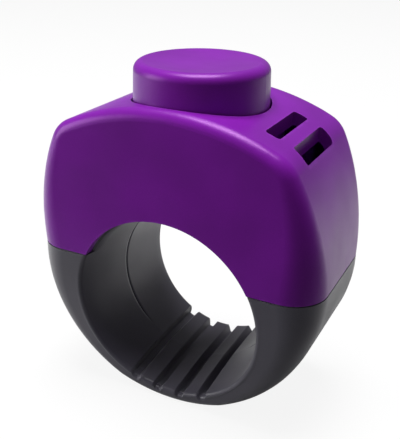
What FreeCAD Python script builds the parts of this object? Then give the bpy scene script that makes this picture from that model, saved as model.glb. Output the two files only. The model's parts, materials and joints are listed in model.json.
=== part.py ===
import FreeCAD, Part
import math
import os

# Finger-worn clicker: a hard casing with a push button sits on a soft pleated ring.
# Frame: origin at the centre of the finger bore, half way through its depth.
# +Y runs along the bore and the front face looks to -Y. +Z points up to the button.
# All sizes are millimetres.

os.makedirs("parts", exist_ok=True)
Vec = FreeCAD.Vector

# ---- overall form, shared by the casing and the ring ----
half_width = 17.25          # from the middle to the side, at the seam
side_radius = 30.0          # big arc of each side, seen from the front
crown_height = 12.8         # crown of the roof above the finger bore
roof_radius = 28.5          # big arc of the roof
shoulder_radius = 4.0       # round between roof and side
seam_z = 5.0                # where the hard casing meets the soft ring
seam_gap = 0.16             # fine open line between the two
half_depth_roof = 8.8       # front face at the height of the roof
half_depth_seam = 9.05      # front face at the seam, the deepest place
half_depth_foot = 7.4       # front face at the bottom of the ring
edge_round_roof = 1.3       # edge radius between roof and front face
edge_round_seam = 4.0       # upright edge radius at the seam
edge_round_foot = 0.6       # edge radius under the ring
inner_round = 0.4           # edge radius inside the casing's roof

# ---- finger bore and soft ring ----
finger_radius = 10.2        # straight rear half of the bore
flare_slope = 0.058           # how fast the front half opens where it leaves the straight half
flare_curve = 165.0          # radius of the arc that opens it further towards the front
foot_wall = 2.2             # ring thickness under the finger
loop_wall = 2.1             # ring thickness where it passes inside the casing
lip_round = 0.35            # inner edge at the ring's front and back
pleat_count = 4
pleat_pitch = 2.88
pleat_width = 1.15
pleat_depth = 0.9           # below the surface of the bore, front and back alike
ear_width = 3.3             # blocks of the ring that reach up into the casing
ear_height = 3.5
ear_half_depth = 5.3
ear_side_gap = 0.4          # ear to the casing's side wall

# ---- casing ----
wall = 1.2
roof_wall = 1.4
arch_reveal = 0.9           # how far the front and back walls stop short of the bore
slot_inner_x = 9.4          # lanyard slots through the right shoulder of the roof
slot_width = 1.6
slot_bar = 1.4
slot_half_length = 4.2
slot_middle_y = -0.8        # the slots sit a little forward of the middle
slot_corner = 0.4
collar_wall = 1.5           # guide round the button, under the roof
collar_depth = 4.0          # from the crown down to the end of the collar
boss_x = 10.0
boss_y = 5.8
boss_radius = 1.4
lug_wall = 0.6              # plastic round each band pin's end

# ---- inner frame ----
deck_thickness = 1.0
deck_half_length = 14.0
deck_half_depth = 7.3
deck_corner = 3.0
saddle_half_length = 7.2    # webs under the deck that press on the ring
saddle_y = 4.5
saddle_thickness = 1.0
seat_height = 2.0           # block that carries the click plate

# ---- button ----
button_radius = 7.5
button_draft = 0.2          # how much narrower the button is at its top
button_height = 3.5         # above the crown
button_round = 1.0
button_dish = 0.4
button_wall = 1.2
flange_reach = 0.8          # from the button's side to the edge of the flange
flange_thickness = 1.0
flange_half_depth = 7.1     # flats front and back, clear of the casing's walls
nose_radius = 1.1

# ---- click plate ----
plate_thickness = 0.3
plate_half_depth = 3.2
tail_length = 3.6
bend_x = -8.6               # line where the plate leaves its clamp and bends
tip_x = 2.8
tip_half_depth = 2.4
dimple_x = -4.2
dimple_radius = 1.5
dimple_height = 0.35
bar_thickness = 1.0
bar_setback = 0.2

# ---- fasteners ----
casing_screw_radius = 0.7
casing_screw_head_radius = 1.35
casing_screw_head_height = 0.9
casing_screw_reach = 3.6    # thread length above the deck
clamp_screw_radius = 0.5
clamp_screw_head_radius = 1.0
clamp_screw_head_height = 0.7
clamp_screw_y = 2.0
clamp_screw_reach = 1.6     # thread length below the plate
drive_width = 0.5           # width of the cross recess in a screw head
drive_depth = 0.35
band_pin_radius = 0.75
band_pin_inset = 3.15       # from the widest place of the side
band_pin_z = 7.2
band_pin_end_gap = 0.5

# ---- clearances ----
slide_clearance = 0.12      # button in its collar
rest_gap = 0.1              # parts that stop just short of each other
fit_clearance = 0.02        # screw threads and pins in their holes
pass_clearance = 0.12       # screw shanks in plain holes
plate_gap = 0.05            # open line at the bend of the click plate

# ---- worked out from the values above ----
roof_top_z = finger_radius + crown_height
button_top_z = roof_top_z + button_height
collar_bottom_z = roof_top_z - collar_depth
arch_radius = finger_radius + arch_reveal
flange_radius = button_radius + flange_reach
band_pin_x = half_width - band_pin_inset
foot_z = -(finger_radius + foot_wall)
foot_radius = half_width * (half_width / (seam_z - foot_z)) ** 2
foot_centre = (0.0, foot_z + foot_radius)
roof_centre = (0.0, roof_top_z - roof_radius)
side_centre = (half_width - side_radius, seam_z)
hip_rise = seam_z - foot_centre[1]
hip_radius = (half_width ** 2 + hip_rise ** 2 - foot_radius ** 2) / (2 * (half_width - foot_radius))
hip_centre = (half_width - hip_radius, seam_z)
loop_radius = finger_radius + loop_wall
deck_z = loop_radius + rest_gap
deck_top_z = deck_z + deck_thickness
plate_z = deck_top_z + seat_height
plate_top_z = plate_z + plate_thickness
bar_top_z = plate_top_z + bar_thickness
clamp_screw_x = bend_x - (tail_length + bar_setback) / 2
nose_tip_z = plate_top_z + rest_gap
flange_top_z = collar_bottom_z - rest_gap
flange_z = flange_top_z - flange_thickness
collar_radius = button_radius + slide_clearance
inner_half_width = half_width - wall
reach = 4 * half_width      # longer than anything in the model


def towards(centre, target, radius):
    """Point at this radius from the centre, in the direction of the target."""
    dx, dz = target[0] - centre[0], target[1] - centre[1]
    scale = radius / math.hypot(dx, dz)
    return (centre[0] + dx * scale, centre[1] + dz * scale)


def circles_meet(centre_a, radius_a, centre_b, radius_b):
    """The right-hand point where two circles cross."""
    dx, dz = centre_b[0] - centre_a[0], centre_b[1] - centre_a[1]
    gap = math.hypot(dx, dz)
    along = (radius_a ** 2 - radius_b ** 2 + gap ** 2) / (2 * gap)
    across = math.sqrt(radius_a ** 2 - along ** 2)
    base = (centre_a[0] + along * dx / gap, centre_a[1] + along * dz / gap)
    ends = [(base[0] + side * across * dz / gap, base[1] - side * across * dx / gap) for side in (1, -1)]
    return max(ends)


def arc(centre, start, end, radius, side):
    """Arc edge in the XZ plane, mirrored to -X when side is -1."""
    middle_way = ((start[0] + end[0]) / 2, (start[1] + end[1]) / 2)
    middle = towards(centre, middle_way, radius)
    corners = [Vec(side * p[0], 0, p[1]) for p in (start, middle, end)]
    return Part.Arc(*corners).toShape()


def slab(points, axis, length):
    """Straight-sided solid: a flat outline pushed along the axis."""
    outline = Part.makePolygon(points + points[:1])
    return Part.Face(outline).extrude(axis * length)


def front_face(inset, roof_inset):
    """Outline seen from the front, moved inwards by the inset: five tangent arcs a side."""
    roof, side, hip = roof_radius - roof_inset, side_radius - inset, hip_radius - inset
    shoulder = max(shoulder_radius - inset, inner_round)
    shoulder_centre = circles_meet(roof_centre, roof - shoulder, side_centre, side - shoulder)
    roof_end = towards(roof_centre, shoulder_centre, roof)
    side_top = towards(side_centre, shoulder_centre, side)
    waist = (half_width - inset, seam_z)
    if hip_radius > foot_radius:
        hip_end = towards(hip_centre, foot_centre, hip)
    else:
        hip_end = towards(foot_centre, hip_centre, foot_radius - inset)
    edges = []
    for hand in (1, -1):
        edges.append(arc(shoulder_centre, roof_end, side_top, shoulder, hand))
        edges.append(arc(side_centre, side_top, waist, side, hand))
        edges.append(arc(hip_centre, waist, hip_end, hip, hand))
    for end, middle_z in ((roof_end, roof_top_z - roof_inset), (hip_end, foot_z + inset)):
        ends = [Vec(hand * end[0], 0, end[1]) for hand in (1, -1)]
        edges.append(Part.Arc(ends[0], Vec(0, 0, middle_z), ends[1]).toShape())
    return Part.Face(Part.Wire(Part.__sortEdges__(edges)))


def blank(inset, roof_inset):
    """Body of the whole object with sharp edges: front outline crossed with the side outline."""
    from_front = front_face(inset, roof_inset)
    from_front.translate(Vec(0, -reach / 2, 0))
    from_front = from_front.extrude(Vec(0, reach, 0))
    stations = [(half_depth_roof - inset, roof_top_z), (half_depth_seam - inset, seam_z),
                (half_depth_foot - inset, foot_z - wall)]
    edges = []
    for side in (1, -1):
        edges.append(Part.Arc(*[Vec(-reach / 2, side * y, z) for y, z in stations]).toShape())
    for y, z in (stations[0], stations[-1]):
        edges.append(Part.makeLine(Vec(-reach / 2, -y, z), Vec(-reach / 2, y, z)))
    from_side = Part.Face(Part.Wire(Part.__sortEdges__(edges))).extrude(Vec(reach, 0, 0))
    return from_front.common(from_side)


def round_outline(shape, radius_at):
    """Round the front and back outline edges, with a radius that changes with height."""
    document = FreeCAD.newDocument("rounding")
    source = document.addObject("Part::Feature", "source")
    source.Shape = shape
    wanted = []
    for number, edge in enumerate(shape.Edges, start=1):
        start = edge.valueAt(edge.FirstParameter)
        end = edge.valueAt(edge.LastParameter)
        on_face = min(abs(start.y), abs(end.y)) > half_depth_foot / 2 and start.y * end.y > 0
        at_seam = abs(start.z - seam_z) < 0.01 and abs(end.z - seam_z) < 0.01
        if on_face and not at_seam:
            wanted.append((number, radius_at(start.z), radius_at(end.z)))
    rounded = document.addObject("Part::Fillet", "rounded")
    rounded.Base = source
    rounded.Edges = wanted
    document.recompute()
    result = rounded.Shape.copy()
    FreeCAD.closeDocument(document.Name)
    return result


def half_space(upper):
    """Block that holds everything above the seam, or everything below it."""
    low = seam_z if upper else seam_z - reach
    return Part.makeBox(reach, reach, reach, Vec(-reach / 2, -reach / 2, low))


def upper_hull(inset, roof_inset, roof_edge, seam_edge):
    """Rounded form above the seam."""
    shape = blank(inset, roof_inset).common(half_space(True))
    slope = (roof_edge - seam_edge) / (roof_top_z - shoulder_radius - seam_z)
    return round_outline(shape, lambda z: max(roof_edge, seam_edge + slope * (z - seam_z)))


def lower_hull():
    """Rounded form below the seam."""
    shape = blank(0, 0).cut(half_space(True))
    return round_outline(shape, lambda z: edge_round_seam if z > seam_z - 1 else edge_round_foot)


def rod(radius, start, end):
    """Round bar between two points."""
    way = end - start
    return Part.makeCylinder(radius, way.Length, start, way)


def block(x, y, z):
    """Box from three (low, high) pairs."""
    return Part.makeBox(x[1] - x[0], y[1] - y[0], z[1] - z[0], Vec(x[0], y[0], z[0]))


def joined(shapes):
    """One solid from touching or overlapping shapes."""
    result = shapes[0]
    for other in shapes[1:]:
        result = result.fuse(other)
    return result.removeSplitter()


def flared_radius(depth):
    """Radius of the bore at this distance in front of its straight half."""
    return finger_radius + flare_slope * depth + depth ** 2 / (2 * flare_curve)


def finger_bore():
    """Tool that cuts the bore: straight at the rear, trumpet-shaped at the front."""
    opening = flared_radius(half_depth_seam)
    halfway = flared_radius(half_depth_seam / 2)
    beyond = half_depth_seam + wall
    points = [Vec(0, -half_depth_seam, 0), Vec(opening, -half_depth_seam, 0)]
    curve = Part.Arc(points[1], Vec(halfway, -half_depth_seam / 2, 0), Vec(finger_radius, 0, 0)).toShape()
    rest = Part.makePolygon([Vec(finger_radius, 0, 0), Vec(finger_radius, beyond, 0), Vec(0, beyond, 0),
                             points[0], points[1]])
    profile = Part.Face(Part.Wire(Part.__sortEdges__([curve] + rest.Edges)))
    return profile.revolve(Vec(0, 0, 0), Vec(0, 1, 0), 360)


def pleat_places():
    """X of each groove across the bottom of the bore."""
    return [(number - (pleat_count - 1) / 2) * pleat_pitch for number in range(pleat_count)]


def pleat(x):
    """Tool for one round-bottomed groove along the bore, level at the rear and falling to the front."""
    half = pleat_width / 2
    tools = []
    for end, radius in ((reach / 4, finger_radius), (-half_depth_seam, flared_radius(half_depth_seam))):
        start_z, end_z = (half - math.sqrt((r + pleat_depth) ** 2 - x ** 2)
                          for r in (finger_radius, radius))
        root = rod(half, Vec(x, 0, start_z), Vec(x, end, end_z))
        side = [Vec(x - half, 0, start_z), Vec(x - half, end, end_z), Vec(x - half, end, -finger_radius / 2),
                Vec(x - half, 0, -finger_radius / 2)]
        tools += [root, slab(side, Vec(1, 0, 0), pleat_width)]
    return joined(tools)


def band_pin_tool(side, radius, half_length):
    """Bar on the line of one band pin."""
    x = side * band_pin_x
    return rod(radius, Vec(x, -half_length, band_pin_z), Vec(x, half_length, band_pin_z))


def ring_band():
    """Soft ring: visible U below the seam, a loop inside the casing and two pinned ears."""
    lower = lower_hull().common(block((-reach, reach), (-reach, reach), (foot_z - wall, seam_z - seam_gap / 2)))
    bored = lower.cut(finger_bore())
    lips = []
    for edge in bored.Edges:
        near = edge.valueAt((edge.FirstParameter + edge.LastParameter) / 2)
        spot = math.hypot(near.x, near.z)
        if edge.Length > finger_radius and spot < loop_radius and abs(near.y) > half_depth_foot / 2:
            lips.append(edge)
    bored = bored.makeFillet(lip_round, lips)
    inside = half_depth_seam - wall - rest_gap
    loop = rod(loop_radius, Vec(0, -inside, 0), Vec(0, inside, 0))
    loop = loop.common(block((-reach, reach), (-reach, reach), (seam_z - 1.0, reach))).cut(finger_bore())
    pieces = [bored, loop]
    ear_outer = inner_half_width - ear_side_gap
    for side in (1, -1):
        x = sorted((side * (ear_outer - ear_width), side * ear_outer))
        pieces.append(block(x, (-ear_half_depth, ear_half_depth), (seam_z - 1.0, seam_z + ear_height)))
    band = joined(pieces)
    for x in pleat_places():
        band = band.cut(pleat(x))
    for side in (1, -1):
        band = band.cut(band_pin_tool(side, band_pin_radius + fit_clearance, half_depth_seam))
    return band


def slot_tool(x):
    """Tool for one lanyard slot, straight down through the roof."""
    y = (slot_middle_y - slot_half_length, slot_middle_y + slot_half_length)
    tool = block((x, x + slot_width), y, (collar_bottom_z - 3, roof_top_z))
    upright = [e for e in tool.Edges if abs(e.BoundBox.ZLength) > 1]
    return tool.makeFillet(slot_corner, upright)


def boss_places():
    """The four casing screws, as points on the deck."""
    return [(sx * boss_x, sy * boss_y) for sx in (1, -1) for sy in (1, -1)]


def upper_casing():
    """Hard shell with the roof, the button collar, the screw bosses and the lanyard slots."""
    outer = upper_hull(0, 0, edge_round_roof, edge_round_seam)
    hollow = upper_hull(wall, roof_wall, inner_round, edge_round_seam - wall)
    shell = outer.cut(hollow)
    shell = shell.cut(rod(arch_radius, Vec(0, -reach, 0), Vec(0, reach, 0)))
    inside = [rod(collar_radius + collar_wall, Vec(0, 0, collar_bottom_z), Vec(0, 0, roof_top_z))]
    for x, y in boss_places():
        inside.append(rod(boss_radius, Vec(x, y, deck_top_z), Vec(x, y, roof_top_z)))
    loop_space = rod(loop_radius + rest_gap, Vec(0, -reach, 0), Vec(0, reach, 0))
    for sx in (1, -1):
        for sy in (1, -1):
            x = sorted((sx * (band_pin_x - lug_wall - band_pin_radius), sx * half_width))
            y = sorted((sy * (ear_half_depth + ear_side_gap), sy * half_depth_seam))
            lug = block(x, y, (seam_z + seam_gap, band_pin_z + band_pin_radius + lug_wall))
            inside.append(lug.cut(loop_space))
    trimmed = joined([shell] + [piece.common(outer) for piece in inside])
    trimmed = trimmed.cut(block((-reach, reach), (-reach, reach), (0, seam_z + seam_gap / 2)))
    trimmed = trimmed.cut(rod(collar_radius, Vec(0, 0, collar_bottom_z - 1), Vec(0, 0, roof_top_z + 1)))
    for number in range(2):
        trimmed = trimmed.cut(slot_tool(slot_inner_x + number * (slot_width + slot_bar)))
    for x, y in boss_places():
        top = deck_top_z + casing_screw_reach + rest_gap
        trimmed = trimmed.cut(rod(casing_screw_radius + fit_clearance, Vec(x, y, deck_z), Vec(x, y, top)))
    for side in (1, -1):
        half = half_depth_seam - wall - rest_gap
        trimmed = trimmed.cut(band_pin_tool(side, band_pin_radius + fit_clearance, half))
    return trimmed


def inner_frame():
    """Hard deck over the ring's loop: it carries the click plate and closes the casing."""
    deck = block((-deck_half_length, deck_half_length), (-deck_half_depth, deck_half_depth), (deck_z, deck_top_z))
    deck = deck.makeFillet(deck_corner, [e for e in deck.Edges if e.BoundBox.ZLength > deck_thickness / 2])
    pieces = [deck]
    loop = rod(loop_radius + fit_clearance, Vec(0, -reach, 0), Vec(0, reach, 0))
    for side in (1, -1):
        y = side * saddle_y
        web = block((-saddle_half_length, saddle_half_length),
                    (y - saddle_thickness / 2, y + saddle_thickness / 2), (finger_radius, deck_z))
        pieces.append(web.cut(loop))
    tail_x = bend_x - tail_length
    pieces.append(block((tail_x, bend_x), (-plate_half_depth, plate_half_depth), (deck_top_z, plate_z)))
    frame = joined(pieces)
    for x, y in boss_places():
        frame = frame.cut(rod(casing_screw_radius + pass_clearance, Vec(x, y, 0), Vec(x, y, deck_top_z + 1)))
    for side in (1, -1):
        x, y = clamp_screw_x, side * clamp_screw_y
        low = plate_z - clamp_screw_reach - rest_gap
        frame = frame.cut(rod(clamp_screw_radius + fit_clearance, Vec(x, y, low), Vec(x, y, plate_z + 1)))
    return frame


def click_plate_tail():
    """The clamped end of the spring-steel click plate."""
    tail = block((bend_x - tail_length, bend_x), (-plate_half_depth, plate_half_depth), (plate_z, plate_top_z))
    for side in (1, -1):
        x, y = clamp_screw_x, side * clamp_screw_y
        tail = tail.cut(rod(clamp_screw_radius + pass_clearance, Vec(x, y, plate_z), Vec(x, y, plate_top_z)))
    return tail


def click_plate_tongue():
    """The free end of the same steel plate, with the stamped dimple that makes it snap."""
    start = bend_x + plate_gap
    outline = [Vec(start, -plate_half_depth, plate_z), Vec(dimple_x, -plate_half_depth, plate_z),
               Vec(tip_x, -tip_half_depth, plate_z), Vec(tip_x, tip_half_depth, plate_z),
               Vec(dimple_x, plate_half_depth, plate_z), Vec(start, plate_half_depth, plate_z)]
    tongue = slab(outline, Vec(0, 0, 1), plate_thickness)
    ball = (dimple_radius ** 2 + dimple_height ** 2) / (2 * dimple_height)
    centre = Vec(dimple_x, 0, plate_top_z + dimple_height - ball)
    above = block((-reach, reach), (-reach, reach), (plate_z, reach))
    dome = Part.makeSphere(ball, centre).common(above)
    pressing = Part.makeSphere(ball - plate_thickness, centre)
    return tongue.fuse(dome).cut(pressing).removeSplitter()


def clamp_bar():
    """Bar that holds the plate's tail down on its seat."""
    end = bend_x - bar_setback
    bar = block((bend_x - tail_length, end), (-plate_half_depth, plate_half_depth), (plate_top_z, bar_top_z))
    for side in (1, -1):
        x, y = clamp_screw_x, side * clamp_screw_y
        bar = bar.cut(rod(clamp_screw_radius + pass_clearance, Vec(x, y, 0), Vec(x, y, reach)))
    return bar


def screw(place, way, radius, length, head_radius, head_height):
    """Pan-head screw: the head stands on the place, the shank runs along the way."""
    back = way * -1
    head = Part.makeCylinder(head_radius, head_height, place, back)
    top = place + back * head_height
    rim = [e for e in head.Edges if e.Length > head_height and abs(e.BoundBox.Center.z - top.z) < 0.01]
    head = head.makeFillet(head_height / 3, rim)
    shape = head.fuse(Part.makeCylinder(radius, length, place, way)).removeSplitter()
    low, high = sorted((top.z, top.z - back.z * drive_depth))
    arm, half = head_radius * 0.55, drive_width / 2
    for long_x, long_y in ((arm, half), (half, arm)):
        x = (place.x - long_x, place.x + long_x)
        y = (place.y - long_y, place.y + long_y)
        shape = shape.cut(block(x, y, (low, high)))
    return shape


def clamp_screws():
    """Two small screws through the bar and the plate into the seat."""
    depth = bar_top_z - plate_z + clamp_screw_reach
    return Part.makeCompound([screw(Vec(clamp_screw_x, side * clamp_screw_y, bar_top_z), Vec(0, 0, -1),
                                    clamp_screw_radius, depth, clamp_screw_head_radius,
                                    clamp_screw_head_height) for side in (1, -1)])


def casing_screws():
    """Four screws from under the deck up into the casing's bosses."""
    length = deck_thickness + casing_screw_reach
    return Part.makeCompound([screw(Vec(x, y, deck_z), Vec(0, 0, 1), casing_screw_radius, length,
                                    casing_screw_head_radius, casing_screw_head_height)
                              for x, y in boss_places()])


def band_pins():
    """Two steel pins, one through each ear of the ring, held in the casing's lugs."""
    half = half_depth_seam - wall - rest_gap - band_pin_end_gap
    return Part.makeCompound([band_pin_tool(side, band_pin_radius, half) for side in (1, -1)])


def turned(points):
    """Solid of revolution about Z from (radius, z) points."""
    outline = Part.makePolygon([Vec(r, 0, z) for r, z in points + points[:1]])
    return Part.Face(outline).revolve(Vec(0, 0, 0), Vec(0, 0, 1), 360)


def button_cap():
    """Round push button with a dished top, hollow underneath."""
    top_radius = button_radius - button_draft
    ceiling = button_top_z - button_dish - button_wall
    body = turned([(0, flange_top_z), (button_radius, flange_top_z), (top_radius, button_top_z), (0, button_top_z)])
    crown = [e for e in body.Edges if e.BoundBox.ZMin > button_top_z - 0.01 and e.Length > 1]
    body = body.makeFillet(button_round, crown)
    dish_edge = top_radius - button_round
    ball = (dish_edge ** 2 + button_dish ** 2) / (2 * button_dish)
    body = body.cut(Part.makeSphere(ball, Vec(0, 0, button_top_z - button_dish + ball)))
    return body.cut(rod(button_radius - button_wall, Vec(0, 0, flange_top_z - 1), Vec(0, 0, ceiling)))


def button_plunger():
    """Insert under the cap: flange that stops under the collar, spigot and pressing nose."""
    flange = rod(flange_radius, Vec(0, 0, flange_z), Vec(0, 0, flange_top_z))
    flange = flange.common(block((-reach, reach), (-flange_half_depth, flange_half_depth), (0, reach)))
    spigot_radius = button_radius - button_wall - fit_clearance
    spigot = rod(spigot_radius, Vec(0, 0, flange_top_z), Vec(0, 0, flange_top_z + 2))
    nose = rod(nose_radius, Vec(0, 0, nose_tip_z), Vec(0, 0, flange_z))
    nose = nose.makeFillet(nose_radius * 0.6, [e for e in nose.Edges if e.BoundBox.ZMax < nose_tip_z + 0.01])
    return joined([flange, spigot, nose])


nodes = {
    "upper_casing": upper_casing,
    "ring_band": ring_band,
    "band_pins": band_pins,
    "inner_frame": inner_frame,
    "casing_screws": casing_screws,
    "click_plate_tail": click_plate_tail,
    "click_plate_tongue": click_plate_tongue,
    "clamp_bar": clamp_bar,
    "clamp_screws": clamp_screws,
    "button_cap": button_cap,
    "button_plunger": button_plunger,
}
for name, make in nodes.items():
    shape = make()
    shape.exportStep("parts/" + name + ".step")
    box = shape.BoundBox
    print(name, "valid", shape.isValid(), "solids", len(shape.Solids), "volume", round(shape.Volume, 2),
          "box", [round(v, 2) for v in (box.XMin, box.XMax, box.YMin, box.YMax, box.ZMin, box.ZMax)])
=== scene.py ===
# %% [markdown]
# A clicker that is worn on a finger. A hard purple casing with a round push button sits
# on a soft charcoal ring. The CAD frame already holds every part at its real size, so this
# script gives the parts their looks: satin plastic, soft-touch rubber and steel, under
# soft light.

# %% Load the frame
import json
import math

import bpy
import numpy as np
from mathutils import Matrix, Vector


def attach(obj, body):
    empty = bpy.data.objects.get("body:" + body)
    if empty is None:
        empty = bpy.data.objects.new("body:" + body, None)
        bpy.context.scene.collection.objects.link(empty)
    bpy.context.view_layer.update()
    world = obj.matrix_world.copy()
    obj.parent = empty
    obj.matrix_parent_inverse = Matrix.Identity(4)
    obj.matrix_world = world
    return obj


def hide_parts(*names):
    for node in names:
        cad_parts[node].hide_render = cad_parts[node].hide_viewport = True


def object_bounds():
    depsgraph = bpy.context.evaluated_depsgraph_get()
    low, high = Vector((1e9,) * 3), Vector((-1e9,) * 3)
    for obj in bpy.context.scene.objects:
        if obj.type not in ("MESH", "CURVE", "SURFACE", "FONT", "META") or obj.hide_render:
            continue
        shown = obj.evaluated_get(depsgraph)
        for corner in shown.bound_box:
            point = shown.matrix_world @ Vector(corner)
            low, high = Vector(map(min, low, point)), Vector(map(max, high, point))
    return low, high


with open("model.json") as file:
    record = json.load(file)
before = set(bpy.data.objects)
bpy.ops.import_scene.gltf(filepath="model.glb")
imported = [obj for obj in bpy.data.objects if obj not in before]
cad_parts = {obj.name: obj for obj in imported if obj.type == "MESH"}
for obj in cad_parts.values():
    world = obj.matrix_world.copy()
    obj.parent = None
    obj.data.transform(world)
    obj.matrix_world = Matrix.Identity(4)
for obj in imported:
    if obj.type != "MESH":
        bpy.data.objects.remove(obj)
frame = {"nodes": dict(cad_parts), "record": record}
cad_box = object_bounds()
MM = 0.001
nodes = frame["nodes"]
print("nodes", sorted(nodes))
print("box in mm", [[round(v / MM, 2) for v in corner] for corner in cad_box])

# %% [markdown]
# The camera stands close, a little to the right and above, as for a product picture.
# A close camera gives strong perspective, so the distance matters as much as the angle.
# The lens is long enough that the object fills the frame from there.

# %% Camera
CAMERA_TURN = math.radians(26.39)
CAMERA_RISE = math.radians(24.06)
CAMERA_ROLL = math.radians(0.89)
CAMERA_DISTANCE = 83.73 * MM
CAMERA_AIM = Vector((0.02, 0.01, 8.02)) * MM
LENS_MM = 59.16

back = Vector((math.sin(CAMERA_TURN) * math.cos(CAMERA_RISE),
               -math.cos(CAMERA_TURN) * math.cos(CAMERA_RISE), math.sin(CAMERA_RISE)))
camera_data = bpy.data.cameras.new("camera")
camera_data.lens = LENS_MM
camera_data.clip_start = 0.005
camera = bpy.data.objects.new("camera", camera_data)
bpy.context.scene.collection.objects.link(camera)
camera.location = CAMERA_AIM + back * CAMERA_DISTANCE
look = back.to_track_quat("Z", "Y").to_matrix() @ Matrix.Rotation(CAMERA_ROLL, 3, "Z")
camera.rotation_euler = look.to_euler()
bpy.context.scene.camera = camera
print("camera at mm", [round(v / MM, 1) for v in camera.location])

# %% [markdown]
# Most materials here need the same few lines: add a node, set its plain values, and link
# it. A small helper keeps the cells short. A second one makes a shade that grows away from
# the camera, along the direction AWAY on the floor.

# %% Two helpers for nodes
AWAY = (-0.45, 0.89, 0.0)


def add(tree, kind, values=None, **settings):
    node = tree.nodes.new(kind)
    for key, value in settings.items():
        setattr(node, key, value)
    for key, value in (values or {}).items():
        node.inputs[key].default_value = value
    return node


def away_from_viewer(tree, vector, near, far, low, high):
    """Grows from low to high along AWAY, from in front of the object to behind it."""
    along = add(tree, "ShaderNodeVectorMath", {1: AWAY}, operation="DOT_PRODUCT")
    span = {"From Min": near, "From Max": far, "To Min": low, "To Max": high}
    grow = add(tree, "ShaderNodeMapRange", span, interpolation_type="SMOOTHSTEP")
    tree.links.new(vector, along.inputs[0])
    tree.links.new(along.outputs["Value"], grow.inputs["Value"])
    return grow.outputs["Result"]


# %% [markdown]
# The floor is a plain white sheet. Seen directly it is almost evenly bright, with only a
# faint shadow under the ring. In reflections and bounced light its colour is painted dark
# towards the viewer, a painted shade that stands in for a black card that isn't there.
# Light Path tells the two apart. This painted shade keeps the front face deep in colour,
# while the sides still reflect the white sheet behind.

# %% Floor
floor_z = cad_box[0][2]
bpy.ops.mesh.primitive_plane_add(size=3.0, location=(0, 0, floor_z))
floor = bpy.context.object
floor.name = "floor"
sheet = bpy.data.materials.new("white_sheet")
sheet.use_nodes = True
tree = sheet.node_tree
painted_shade_bsdf = tree.nodes["Principled BSDF"]
painted_shade_bsdf.inputs["Roughness"].default_value = 0.9
place = add(tree, "ShaderNodeTexCoord")
# Painted shade: the floor colour runs from dark in front to pale behind, and only reflections and bounced
# light see it.
painted_floor_shade = away_from_viewer(tree, place.outputs["Object"], -0.04, 0.04, 0.10, 0.85)
white = add(tree, "ShaderNodeBsdfDiffuse", {"Color": (0.9, 0.9, 0.9, 1)})
glow = add(tree, "ShaderNodeEmission", {"Color": (1, 1, 1, 1), "Strength": 0.99})
even = add(tree, "ShaderNodeMixShader", {"Fac": 0.90})
seen = add(tree, "ShaderNodeMixShader")
path = add(tree, "ShaderNodeLightPath")
tree.links.new(painted_floor_shade, painted_shade_bsdf.inputs["Base Color"])
tree.links.new(white.outputs["BSDF"], even.inputs[1])
tree.links.new(glow.outputs["Emission"], even.inputs[2])
tree.links.new(path.outputs["Is Camera Ray"], seen.inputs["Fac"])
tree.links.new(painted_shade_bsdf.outputs["BSDF"], seen.inputs[1])
tree.links.new(even.outputs["Shader"], seen.inputs[2])
tree.links.new(seen.outputs["Shader"], tree.nodes["Material Output"].inputs["Surface"])
floor.data.materials.append(sheet)
print("floor at mm", round(floor_z / MM, 2))

# %% [markdown]
# The light is a big soft box overhead, in a dim tent that is darker towards the viewer. A
# weaker panel at the left lifts the left half of the front face. The sides get their pale
# sheen because they reflect the white sheet at a low angle.

# %% Light


def area_light(name, place, aim, size, watts):
    data = bpy.data.lights.new(name, "AREA")
    data.size = size
    data.energy = watts
    lamp = bpy.data.objects.new(name, data)
    bpy.context.scene.collection.objects.link(lamp)
    lamp.location = place
    lamp.rotation_euler = (Vector(place) - Vector(aim)).to_track_quat("Z", "Y").to_euler()


area_light("soft_box", (-0.02, 0.02, 0.38), (0, 0, 0.01), 0.20, 2.0)
area_light("left_panel", (-0.24, -0.14, 0.08), (0, 0, 0.005), 0.16, 0.40)
world = bpy.data.worlds.new("tent")
bpy.context.scene.world = world
world.use_nodes = True
tree = world.node_tree
way = add(tree, "ShaderNodeTexCoord")
tent = away_from_viewer(tree, way.outputs["Generated"], -0.7, 0.7, 0.08, 0.20)
tree.links.new(tent, tree.nodes["Background"].inputs["Strength"])
tree.nodes["Background"].inputs["Color"].default_value = (1, 1, 1, 1)
bpy.context.scene.view_settings.view_transform = "Standard"

# %% [markdown]
# Three small effects turn up in more than one material, so each is a node group with
# named inputs. Spark grain is the fine even texture that an eroded mould leaves. Soft
# patches are the slow changes in tone and gloss that handling leaves. The edge mask finds
# edges that stand out, by comparing the surface with a rounded copy of it. The finishes
# paint those edges paler, partly as rubbed wear and partly as a painted highlight.

# %% Shared effects


def new_group(name, inputs, outputs):
    group = bpy.data.node_groups.new(name, "ShaderNodeTree")
    for title, kind, value in inputs:
        socket = group.interface.new_socket(name=title, in_out="INPUT", socket_type=kind)
        if value is not None:
            socket.default_value = value
    for title, kind in outputs:
        group.interface.new_socket(name=title, in_out="OUTPUT", socket_type=kind)
    start = group.nodes.new("NodeGroupInput")
    end = group.nodes.new("NodeGroupOutput")
    return group, start, end


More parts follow.
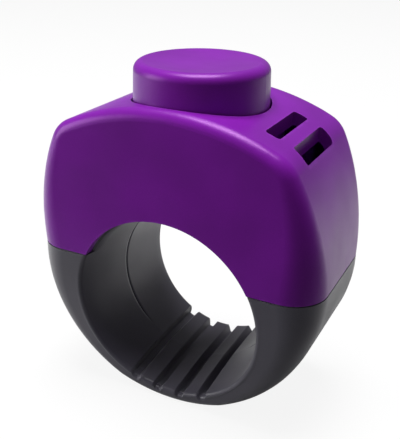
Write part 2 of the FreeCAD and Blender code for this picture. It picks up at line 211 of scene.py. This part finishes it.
grain, start, end = new_group(
    "spark_grain",
    [("Vector", "NodeSocketVector", None), ("Size mm", "NodeSocketFloat", 0.12),
     ("Softness", "NodeSocketFloat", 0.5)],
    [("Height", "NodeSocketFloat"), ("Tone", "NodeSocketFloat")])
per_metre = add(grain, "ShaderNodeMath", {0: 1000.0}, operation="DIVIDE")
fine = add(grain, "ShaderNodeTexNoise", {"Detail": 3.0})
pits = add(grain, "ShaderNodeTexVoronoi", feature="F1")
blend = add(grain, "ShaderNodeMix", data_type="FLOAT")
tone = add(grain, "ShaderNodeMapRange", {"From Min": 0.3, "From Max": 0.7, "To Min": 0.94, "To Max": 1.06})
grain.links.new(start.outputs["Size mm"], per_metre.inputs[1])
for texture in (fine, pits):
    grain.links.new(start.outputs["Vector"], texture.inputs["Vector"])
    grain.links.new(per_metre.outputs["Value"], texture.inputs["Scale"])
grain.links.new(start.outputs["Softness"], blend.inputs["Factor"])
grain.links.new(pits.outputs["Distance"], blend.inputs["A"])
grain.links.new(fine.outputs["Fac"], blend.inputs["B"])
grain.links.new(fine.outputs["Fac"], tone.inputs["Value"])
grain.links.new(blend.outputs["Result"], end.inputs["Height"])
grain.links.new(tone.outputs["Result"], end.inputs["Tone"])

patches, start, end = new_group(
    "soft_patches",
    [("Vector", "NodeSocketVector", None), ("Size mm", "NodeSocketFloat", 6.0),
     ("Low", "NodeSocketFloat", 0.9), ("High", "NodeSocketFloat", 1.1)],
    [("Value", "NodeSocketFloat")])
per_metre = add(patches, "ShaderNodeMath", {0: 1000.0}, operation="DIVIDE")
cloud = add(patches, "ShaderNodeTexNoise", {"Detail": 2.0, "Roughness": 0.45})
spread = add(patches, "ShaderNodeMapRange", {"From Min": 0.32, "From Max": 0.68})
patches.links.new(start.outputs["Size mm"], per_metre.inputs[1])
patches.links.new(start.outputs["Vector"], cloud.inputs["Vector"])
patches.links.new(per_metre.outputs["Value"], cloud.inputs["Scale"])
patches.links.new(cloud.outputs["Fac"], spread.inputs["Value"])
patches.links.new(start.outputs["Low"], spread.inputs["To Min"])
patches.links.new(start.outputs["High"], spread.inputs["To Max"])
patches.links.new(spread.outputs["Result"], end.inputs["Value"])

# Edge mask: the finishes paint these edges paler, partly as rubbed wear and partly as a painted highlight.
worn_and_highlit_edges, start, end = new_group(
    "rubbed_and_highlit_edges",
    [("Vector", "NodeSocketVector", None), ("Reach mm", "NodeSocketFloat", 0.5)],
    [("Mask", "NodeSocketFloat")])
reach = add(worn_and_highlit_edges, "ShaderNodeMath", {1: 0.001}, operation="MULTIPLY")
rounded = add(worn_and_highlit_edges, "ShaderNodeBevel", samples=6)
shape = add(worn_and_highlit_edges, "ShaderNodeNewGeometry")
match = add(worn_and_highlit_edges, "ShaderNodeVectorMath", operation="DOT_PRODUCT")
edge = add(worn_and_highlit_edges, "ShaderNodeMapRange", {"From Min": 0.995, "From Max": 0.93})
broken = add(worn_and_highlit_edges, "ShaderNodeTexNoise", {"Scale": 1400.0, "Detail": 4.0})
uneven = add(worn_and_highlit_edges, "ShaderNodeMapRange", {"From Min": 0.35, "From Max": 0.6})
mask = add(worn_and_highlit_edges, "ShaderNodeMath", operation="MULTIPLY")
worn_and_highlit_edges.links.new(start.outputs["Reach mm"], reach.inputs[0])
worn_and_highlit_edges.links.new(reach.outputs["Value"], rounded.inputs["Radius"])
worn_and_highlit_edges.links.new(rounded.outputs["Normal"], match.inputs[0])
worn_and_highlit_edges.links.new(shape.outputs["Normal"], match.inputs[1])
worn_and_highlit_edges.links.new(match.outputs["Value"], edge.inputs["Value"])
worn_and_highlit_edges.links.new(start.outputs["Vector"], broken.inputs["Vector"])
worn_and_highlit_edges.links.new(broken.outputs["Fac"], uneven.inputs["Value"])
worn_and_highlit_edges.links.new(edge.outputs["Result"], mask.inputs[0])
worn_and_highlit_edges.links.new(uneven.outputs["Result"], mask.inputs[1])
worn_and_highlit_edges.links.new(mask.outputs["Value"], end.inputs["Mask"])
print("groups", [group.name for group in bpy.data.node_groups])

# %% [markdown]
# Every finish is built the same way: a base colour that drifts a little, a roughness that
# drifts with it, a grain that only bends the light, and edges painted slightly paler, partly
# as rubbed wear and partly as a painted highlight. What makes them differ is the numbers, as
# with real mouldings and metals.

# %% One way to build a finish


def moulded(name, colour, edge_colour, edge_amount, roughness, grain_mm, grain_depth, patch_mm=7.0,
            metallic=0.0, specular=0.5, sheen=0.0, tint=(1, 1, 1)):
    material = bpy.data.materials.new(name)
    material.use_nodes = True
    tree = material.node_tree
    shader = tree.nodes["Principled BSDF"]
    shader.inputs["Metallic"].default_value = metallic
    shader.inputs["Specular IOR Level"].default_value = specular
    shader.inputs["Specular Tint"].default_value = (*tint, 1)
    shader.inputs["Sheen Weight"].default_value = sheen
    shader.inputs["Sheen Roughness"].default_value = 0.45
    place = add(tree, "ShaderNodeTexCoord")
    texture = add(tree, "ShaderNodeGroup", node_tree=grain)
    texture.inputs["Size mm"].default_value = grain_mm
    drift = add(tree, "ShaderNodeGroup", node_tree=patches)
    drift.inputs["Size mm"].default_value = patch_mm
    gloss = add(tree, "ShaderNodeGroup", node_tree=patches)
    gloss.inputs["Size mm"].default_value = patch_mm * 0.6
    gloss.inputs["Low"].default_value = roughness * 0.9
    gloss.inputs["High"].default_value = roughness * 1.12
    edges = add(tree, "ShaderNodeGroup", node_tree=worn_and_highlit_edges)
    for node in (texture, drift, gloss, edges):
        tree.links.new(place.outputs["Object"], node.inputs["Vector"])
    shade = add(tree, "ShaderNodeMath", operation="MULTIPLY")
    tree.links.new(texture.outputs["Tone"], shade.inputs[0])
    tree.links.new(drift.outputs["Value"], shade.inputs[1])
    tinted = add(tree, "ShaderNodeVectorMath", {0: colour}, operation="SCALE")
    tree.links.new(shade.outputs["Value"], tinted.inputs["Scale"])
    # The edges are mixed towards the paler colour. This is partly rubbed wear and partly a painted
    # highlight.
    amount = add(tree, "ShaderNodeMath", {1: edge_amount}, operation="MULTIPLY")
    tree.links.new(edges.outputs["Mask"], amount.inputs[0])
    base = add(tree, "ShaderNodeMix", {"B": (*edge_colour, 1)}, data_type="RGBA")
    colour_in = [socket for socket in base.inputs if socket.name == "A" and socket.type == "RGBA"][0]
    colour_out = [socket for socket in base.outputs if socket.type == "RGBA"][0]
    tree.links.new(amount.outputs["Value"], base.inputs["Factor"])
    tree.links.new(tinted.outputs["Vector"], colour_in)
    tree.links.new(colour_out, shader.inputs["Base Color"])
    tree.links.new(gloss.outputs["Value"], shader.inputs["Roughness"])
    bump = add(tree, "ShaderNodeBump", {"Strength": 1.0, "Distance": grain_depth * MM})
    tree.links.new(texture.outputs["Height"], bump.inputs["Height"])
    tree.links.new(bump.outputs["Normal"], shader.inputs["Normal"])
    return material


# %% [markdown]
# The casing and the button are one purple plastic with a satin face. The ring is a soft
# elastomer in charcoal, matt but with a broad pale sheen. Inside are plain black plastic,
# a spring-steel click plate and plated screws, pins and bar.

# %% The finishes
# The second colour of each finish is its paler edge colour. It is partly wear and partly a painted
# highlight.
finishes = {
    "casing_plastic": moulded("purple_satin", (0.19, 0.010, 0.33), (0.36, 0.06, 0.60), 0.3, 0.32,
                              0.10, 0.0030, specular=0.40, tint=(0.9, 0.4, 1.0)),
    "band_rubber": moulded("charcoal_soft_touch", (0.060, 0.055, 0.078), (0.10, 0.096, 0.122), 0.35, 0.44,
                           0.14, 0.006, patch_mm=9.0, sheen=0.5),
    "frame_plastic": moulded("black_plastic", (0.022, 0.022, 0.024), (0.06, 0.06, 0.062), 0.4, 0.48,
                             0.16, 0.006),
    "spring_steel": moulded("rolled_spring_steel", (0.50, 0.50, 0.52), (0.72, 0.72, 0.74), 0.5, 0.26,
                            0.20, 0.0015, metallic=1.0),
    "steel": moulded("plated_steel", (0.62, 0.62, 0.63), (0.80, 0.80, 0.80), 0.5, 0.30,
                     0.18, 0.002, metallic=1.0),
}
slots = {row["node"]: row["material_slot"] for row in frame["record"]["subparts"]}
for name, part in nodes.items():
    part.data.materials.clear()
    part.data.materials.append(finishes[slots[name]])
print("finishes", sorted(finishes))

# %% [markdown]
# The ring is the soft part, so it gets its own model in place of the plain CAD solid. Its
# surface is one closed strip: start from a flat grid, roll it up so that its rows follow
# the section of the ring and its columns go once round the bore, and merge the two seams.
# A rolled grid keeps even quads on the long soft curves, where cutting solids would not.
# First come the sizes. They are the same as the casing's, so that the two faces line up.
# The face's arc has its lowest station a little below the ring, at FACE_END_Z.

# %% Sizes of the ring in mm
HALF_WIDTH, SEAM_Z, FOOT_Z = 17.25, 5.0, -12.4
FOOT_RADIUS = HALF_WIDTH * (HALF_WIDTH / (SEAM_Z - FOOT_Z)) ** 2
DEPTH_ROOF, DEPTH_SEAM, DEPTH_FOOT, ROOF_Z = 8.8, 9.05, 7.4, 23.0
EDGE_SEAM, EDGE_FOOT = 4.0, 0.6
BORE, FLARE_SLOPE, FLARE_CURVE = 10.2, 0.058, 165.0
LOOP_RADIUS, LOOP_DEPTH, LIP = 12.3, 7.75, 0.45
SEAM_TOP, FACE_END_Z = SEAM_Z - 0.08, FOOT_Z - 1.2
PLEAT_PLACES = (-4.32, -1.44, 1.44, 4.32)
PLEAT_HALF, PLEAT_WALL, PLEAT_DEPTH = 0.64, 0.30, 0.95
FADE_START, FADE_LENGTH, FADE_SHARE = 5.6, 1.4, 0.55
LINE_HALF, LINE_DEPTH, LINE_END_Z, LINE_FADE = 0.10, 0.12, -8.0, 2.0
EAR_X, EAR_Z, EAR_SIZE, EAR_ROUND = 14.0, 6.2, (3.1, 10.4, 4.4), 0.4
hip_rise = SEAM_Z - (FOOT_Z + FOOT_RADIUS)
HIP_RADIUS = (HALF_WIDTH ** 2 + hip_rise ** 2 - FOOT_RADIUS ** 2) / (2 * (HALF_WIDTH - FOOT_RADIUS))
hip_x, foot_centre_z = HALF_WIDTH - HIP_RADIUS, FOOT_Z + FOOT_RADIUS
hip_end = math.pi - math.atan2(-hip_x, SEAM_Z - foot_centre_z)
print("hip radius", round(HIP_RADIUS, 2), "ends at", round(math.degrees(hip_end), 1), "degrees")


def arc_through(stations):
    (d1, z1), (d2, z2), (d3, z3) = stations
    rows = np.array([[d2 - d1, z2 - z1], [d3 - d1, z3 - z1]]) * 2
    values = np.array([d2 ** 2 - d1 ** 2 + z2 ** 2 - z1 ** 2, d3 ** 2 - d1 ** 2 + z3 ** 2 - z1 ** 2])
    centre = np.linalg.solve(rows, values)
    return centre, math.hypot(d1 - centre[0], z1 - centre[1])


side_centre, side_arc = arc_through([(DEPTH_ROOF, ROOF_Z), (DEPTH_SEAM, SEAM_Z), (DEPTH_FOOT, FACE_END_Z)])


def half_depth(z):
    return side_centre[0] + np.sqrt(side_arc ** 2 - (z - side_centre[1]) ** 2)


# %% [markdown]
# Seen from the front, the outside is a big hip arc that runs into the arc of the foot. The
# edge round shrinks along the hip, from wide at the seam to tight under the finger. The
# bore is straight at the rear and opens like a trumpet at the front. Where they meet runs
# a fine mould line. It stops above the pleats, four deep grooves that cross the bottom.

# %% Outline, bore and pleats as functions


def outside(t):
    turn = math.pi / 2 + t * math.pi / 2
    normal = np.stack([np.sin(turn), np.cos(turn)])
    hip = np.stack([hip_x + HIP_RADIUS * normal[0], SEAM_Z + HIP_RADIUS * normal[1]])
    foot = np.stack([FOOT_RADIUS * normal[0], foot_centre_z + FOOT_RADIUS * normal[1]])
    on_hip = turn < hip_end
    share = np.clip((turn - math.pi / 2) / (hip_end - math.pi / 2), 0, 1)
    return np.where(on_hip, hip, foot), normal, EDGE_SEAM + (EDGE_FOOT - EDGE_SEAM) * share


def bore_radius(y):
    ahead = np.maximum(-y, 0)
    return BORE + FLARE_SLOPE * ahead + ahead ** 2 / (2 * FLARE_CURVE)


def mould_line(y, z):
    across = np.clip(1 - np.abs(y) / LINE_HALF, 0, 1)
    return LINE_DEPTH * across * np.clip((z - LINE_END_Z) / LINE_FADE, 0, 1)


def pleat_depth(x, y, z):
    """Rounded grooves at PLEAT_PLACES, which run out a little towards the front lip."""
    gap = np.min([np.abs(x - place) for place in PLEAT_PLACES], axis=0)
    wall = np.clip((PLEAT_HALF - gap) / PLEAT_WALL, 0, 1)
    front = 1 - FADE_SHARE * np.clip((-y - FADE_START) / FADE_LENGTH, 0, 1) ** 2
    return np.where(z < 0, PLEAT_DEPTH * front * wall ** 1.7 * (1.7 - 0.7 * wall), 0)


def on_bore(radius, t, y=DEPTH_SEAM):
    """Point on the bore: t runs 0 to 1 from the seam to the bottom, or 0 to -1 to the top."""
    first = np.arccos(SEAM_TOP / radius)
    angle = np.where(t >= 0, first + t * (math.pi - first), first * (1 + t))
    x, z = radius * np.sin(angle), radius * np.cos(angle)
    deep = pleat_depth(x, y, z) + mould_line(y, z)
    return np.stack([x, z]) * (radius + deep) / radius


# %% [markdown]
# Each row of the grid is one line round the ring: bore, lip, face, rounded edge, outside,
# and back by the other face. Above the seam the same rows shrink to the thin loop that
# is hidden in the casing, so the flat step at the seam closes itself. Columns are packed
# close together across the pleats and spread out elsewhere.

# %% Rows and columns
rows = [("bore", value) for value in (-7.2, -6, -5, -4, -3, -2, -1, -0.4, -0.12, -0.06, 0, 0.06, 0.12, 0.4,
                                      1, 2, 3, 4, 5, 6, 7.2)]
rows += [("lip", value) for value in np.linspace(0, 1, 6)]
rows += [("face", value) for value in np.linspace(0.08, 0.92, 8)]
rows += [("round", value) for value in np.linspace(1, 0, 9)]
rows += [("crown", value) for value in np.linspace(0.9, 0, 6)]
front_rows = [(kind, value, -1) for kind, value in rows if kind != "bore"][::-1]
rows = [(kind, value, 1) for kind, value in rows] + front_rows[1:]
half_turn = [(t, True) for t in -np.linspace(1, 0, 26)]
half_turn += [(t, False) for t in np.concatenate([np.linspace(0, 0.58, 44), np.linspace(0.585, 1.0, 100)])]
columns = [(t, 1, looped) for t, looped in half_turn]
columns += [(t, -1, looped) for t, looped in half_turn[-2:0:-1]]
print("rows", len(rows), "columns", len(columns))


def ring_point(kind, value, end, t, side, looped):
    """One grid point in mm. t below the seam is 0 to 1, and in the loop above it 0 to -1."""
    point, normal, edge = outside(max(t, 0.0))
    if looped:
        point, edge = on_bore(LOOP_RADIUS, t), 0.3
        depth = LOOP_DEPTH
    if kind == "bore":
        x, z = on_bore(bore_radius(value), t, value)
        return side * x, value, z
    if not looped and kind in ("lip", "face"):
        depth = float(half_depth(on_bore(BORE + LIP, t)[1]))
    turn = value * math.pi / 2
    if kind == "lip":
        y = end * (depth - LIP * (1 - math.sin(turn)))
        x, z = on_bore(float(bore_radius(end * depth)) + LIP * (1 - math.cos(turn)), t, y)
        return side * x, y, z
    if kind == "face":
        inner = on_bore(float(bore_radius(end * depth)) + LIP, t, end * depth)
        outer = point - (normal * edge if not looped else point / LOOP_RADIUS * edge)
        x, z = inner + (outer - inner) * value
        depth = LOOP_DEPTH if looped else float(half_depth(z))
        return side * x, end * depth, z
    inwards = normal if not looped else point / LOOP_RADIUS
    inset = edge * (1 - math.cos(turn)) if kind == "round" else 0.0
    x, z = point - inwards * inset
    flat = (LOOP_DEPTH if looped else float(half_depth(z))) - edge
    if kind == "round":
        return side * x, end * (flat + edge * math.sin(turn)), z
    return side * x, end * flat * value, z


# %% Roll the grid into the ring
bpy.ops.object.select_all(action="DESELECT")
bpy.ops.mesh.primitive_grid_add(x_subdivisions=len(columns), y_subdivisions=len(rows), size=1)
ring = bpy.context.object
ring.name = "soft_ring"
flat_sheet = np.array([corner.co for corner in ring.data.vertices])
across = np.rint((flat_sheet[:, 0] + 0.5) * len(columns)).astype(int) % len(columns)
along = np.rint((flat_sheet[:, 1] + 0.5) * len(rows)).astype(int) % len(rows)
placed = {}
for column in range(len(columns)):
    for row in range(len(rows)):
        x, y, z = ring_point(*rows[row], *columns[column])
        if not columns[column][2]:
            z = min(z, SEAM_TOP)
        placed[column, row] = (x * MM, y * MM, z * MM)
for corner, column, row in zip(ring.data.vertices, across, along):
    corner.co = placed[column, row]
bpy.ops.object.mode_set(mode="EDIT")
bpy.ops.mesh.select_all(action="SELECT")
bpy.ops.mesh.remove_doubles(threshold=0.000002)
bpy.ops.mesh.normals_make_consistent(inside=False)
bpy.ops.object.mode_set(mode="OBJECT")
print("ring faces", len(ring.data.polygons))

# %% [markdown]
# Two blunt ears rise from the ring into the casing, where steel pins hold them. They are
# rounded blocks, and are joined to the ring because they are moulded with it.

# %% Ears
for side in (1, -1):
    bpy.ops.object.select_all(action="DESELECT")
    bpy.ops.mesh.primitive_cube_add(size=1, location=(side * EAR_X * MM, 0, EAR_Z * MM))
    ear = bpy.context.object
    ear.scale = Vector(EAR_SIZE) * MM
    bpy.ops.object.transform_apply(location=True, rotation=True, scale=True)
    bevel = ear.modifiers.new("round", "BEVEL")
    bevel.width = EAR_ROUND * MM
    bevel.segments = 3
    bpy.ops.object.modifier_apply(modifier="round")
    ring.select_set(True)
    bpy.context.view_layer.objects.active = ring
    bpy.ops.object.join()
bpy.ops.object.shade_smooth_by_angle(angle=math.radians(42))
ring.data.materials.clear()
ring.data.materials.append(finishes["band_rubber"])
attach(ring, "casing")
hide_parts("ring_band")
ring_corners = (ring.bound_box[0], ring.bound_box[6])
print("ring box mm", [[round(v / MM, 2) for v in corner] for corner in ring_corners])
